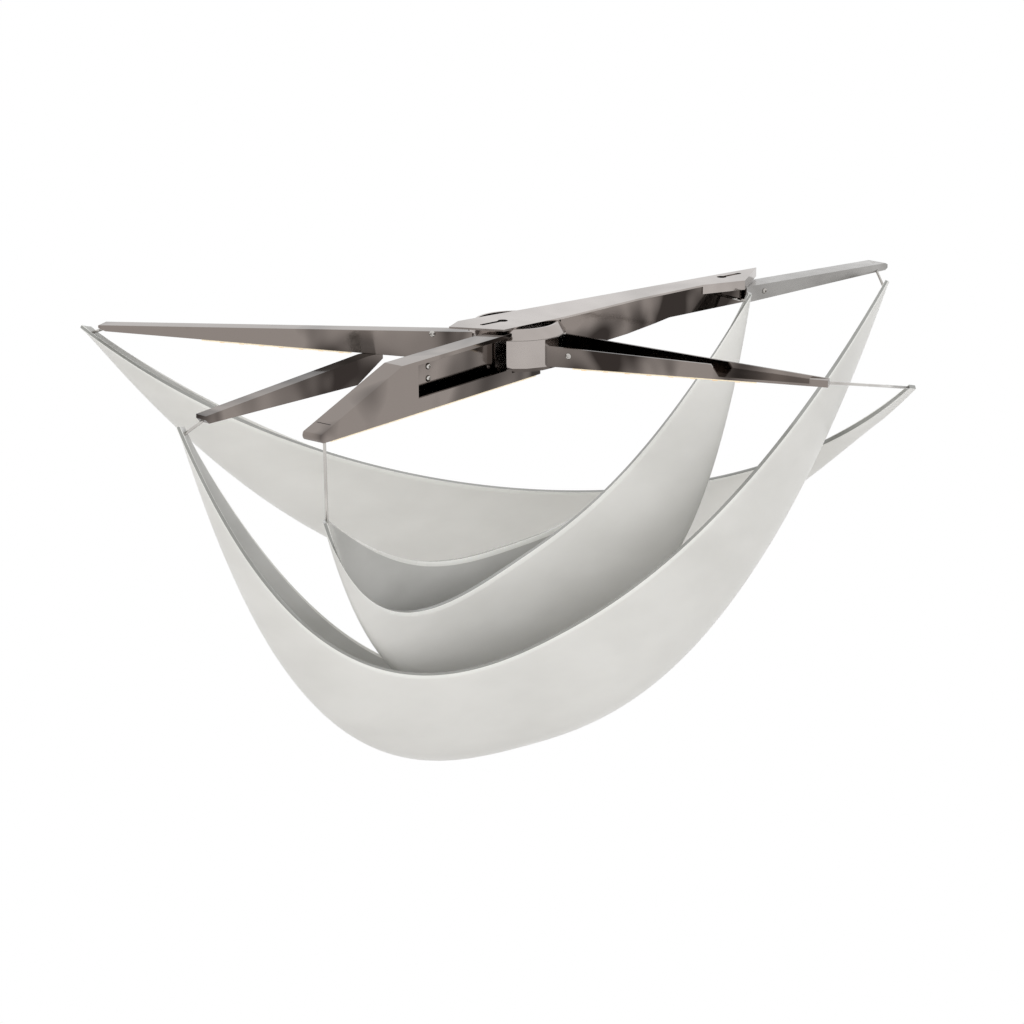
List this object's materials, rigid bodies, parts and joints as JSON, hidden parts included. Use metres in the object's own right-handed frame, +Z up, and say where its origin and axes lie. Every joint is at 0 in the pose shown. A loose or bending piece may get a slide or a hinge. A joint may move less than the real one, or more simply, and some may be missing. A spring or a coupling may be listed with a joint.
{
  "type": "flush mount ceiling light",
  "caption": "Flush mount ceiling light with a folded nickel frame of tapering arms and long bent white glass troughs slung between the arm tips.",
  "frame": {"origin": "centre of the hub on the ceiling plane, which is the top face of the ceiling plate", "axes": "+Z up out of the ceiling plate, +X along the ceiling plate toward the rear arm"},
  "size_m": [0.9005, 0.6846, 0.4397],
  "materials": {
    "nickel": "polished",
    "glass": "satin white",
    "board": "gloss",
    "chips": "lit",
    "screws": "polished"
  },
  "bodies": {
    "root": {"ceiling_plate": "nickel", "spine_channel": "nickel", "hub_housing": "nickel", "hub_cap": "nickel", "hub_cover": "nickel", "arm_left": "nickel", "arm_right": "nickel", "arm_front": "nickel", "window_plate": "nickel", "arm_rear": "nickel", "arm_side": "nickel", "strip_left": "board", "strip_right": "board", "strip_front": "board", "light_chips": "chips", "glass_upper": "glass", "glass_middle": "glass", "glass_lower": "glass", "glass_pins": "screws", "arm_screws": "screws", "window_screws": "screws", "cover_screws": "screws"}
  },
  "joints": []
}
